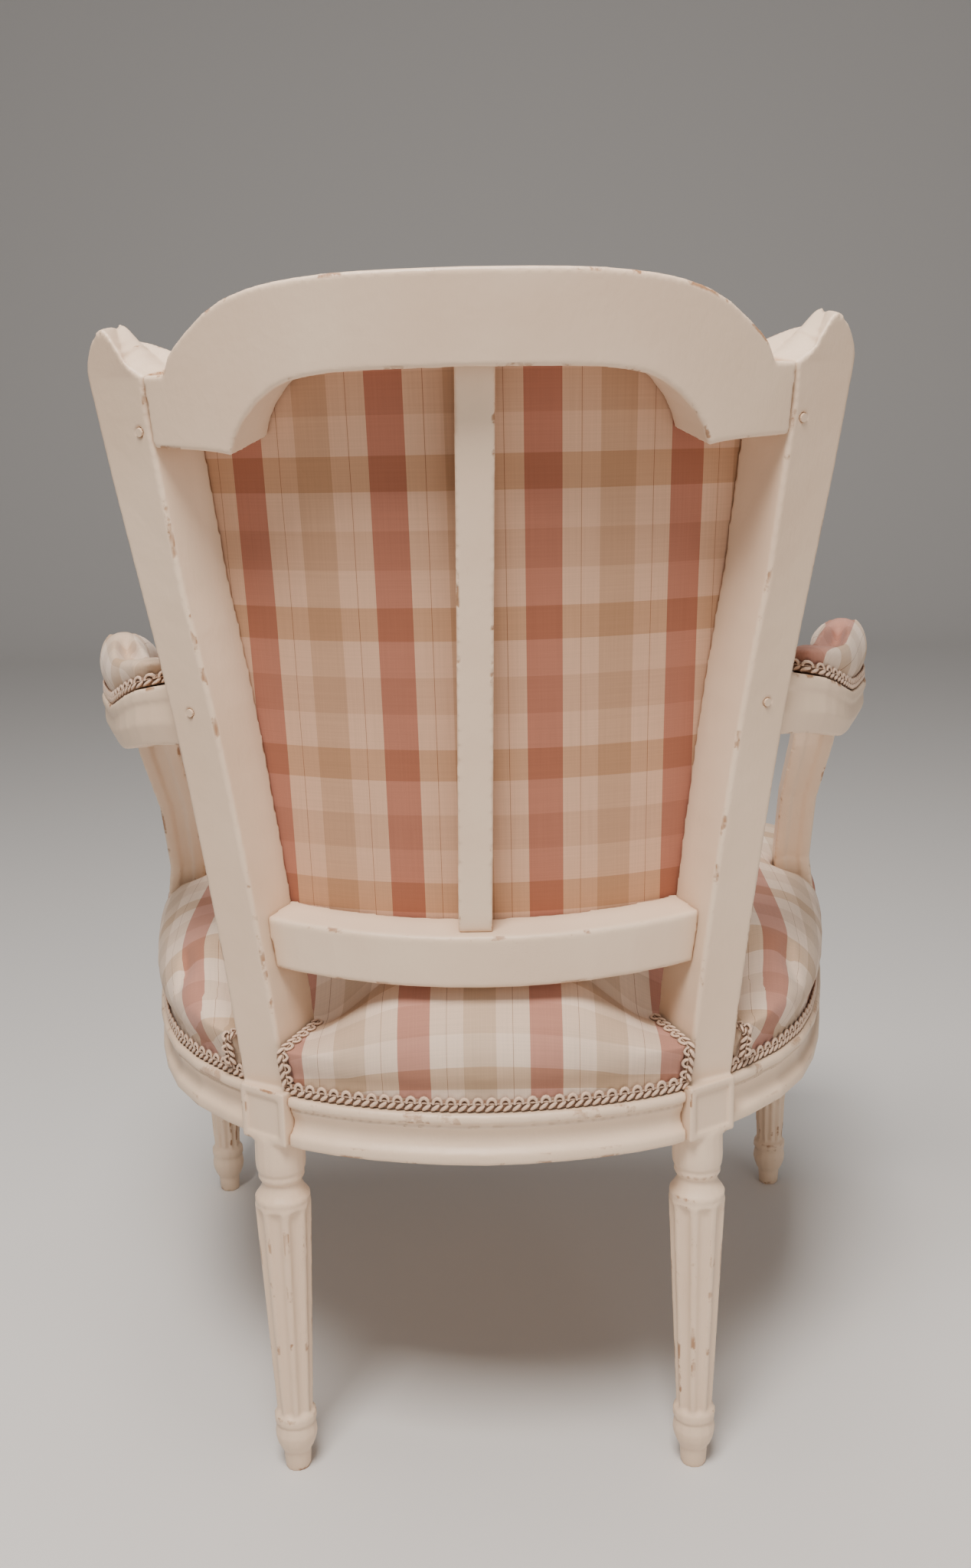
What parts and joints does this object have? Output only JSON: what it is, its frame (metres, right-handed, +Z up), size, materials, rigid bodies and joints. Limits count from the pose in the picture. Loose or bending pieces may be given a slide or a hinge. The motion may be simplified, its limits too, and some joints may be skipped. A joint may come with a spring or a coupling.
{
  "type": "upholstered open armchair",
  "caption": "Open armchair with a curved raked back, padded open arms on curved supports, a bowed cushioned seat and turned, fluted legs in painted wood.",
  "frame": {"origin": "middle of the chair's bounding box at floor level", "axes": "+Z up, the sitter faces -Y, the sitter's left hand is on +X"},
  "size_m": [0.6282, 0.6166, 0.8749],
  "materials": {
    "painted_wood": "cream paint, satin, worn at the edges",
    "plaid_cloth": "woven plaid in red, olive and cream",
    "gimp": "twisted and looped upholstery braid",
    "webbing": "woven jute webbing",
    "bare_wood": "unfinished beech"
  },
  "bodies": {
    "root": {"rear_post_left": "painted_wood", "rear_post_right": "painted_wood", "front_leg_left": "painted_wood", "front_leg_right": "painted_wood", "rear_seat_rail": "painted_wood", "side_seat_rail_left": "painted_wood", "side_seat_rail_right": "painted_wood", "front_seat_rail": "painted_wood", "back_batten": "painted_wood", "crest_rail": "painted_wood", "back_lower_rail": "painted_wood", "arm_left": "painted_wood", "arm_right": "painted_wood", "arm_support_left": "painted_wood", "arm_support_right": "painted_wood", "crest_peg_left": "painted_wood", "crest_peg_right": "painted_wood", "arm_peg_left": "painted_wood", "arm_peg_right": "painted_wood", "arm_pad_left": "plaid_cloth", "arm_pad_right": "plaid_cloth", "back_lining": "plaid_cloth", "back_pad": "plaid_cloth", "seat_pad": "plaid_cloth", "arm_braid_left": "gimp", "arm_braid_right": "gimp", "back_braid": "gimp", "seat_braid_rear": "gimp", "seat_braid_left": "gimp", "seat_braid_right": "gimp", "seat_braid_front": "gimp", "web_cross_1": "webbing", "web_cross_2": "webbing", "web_cross_3": "webbing", "web_cross_4": "webbing", "web_long_1": "webbing", "web_long_2": "webbing", "web_long_3": "webbing", "web_long_4": "webbing", "web_long_5": "webbing", "web_long_6": "webbing", "rear_block_left": "bare_wood", "rear_block_right": "bare_wood", "front_block_left": "bare_wood", "front_block_right": "bare_wood"}
  },
  "joints": []
}
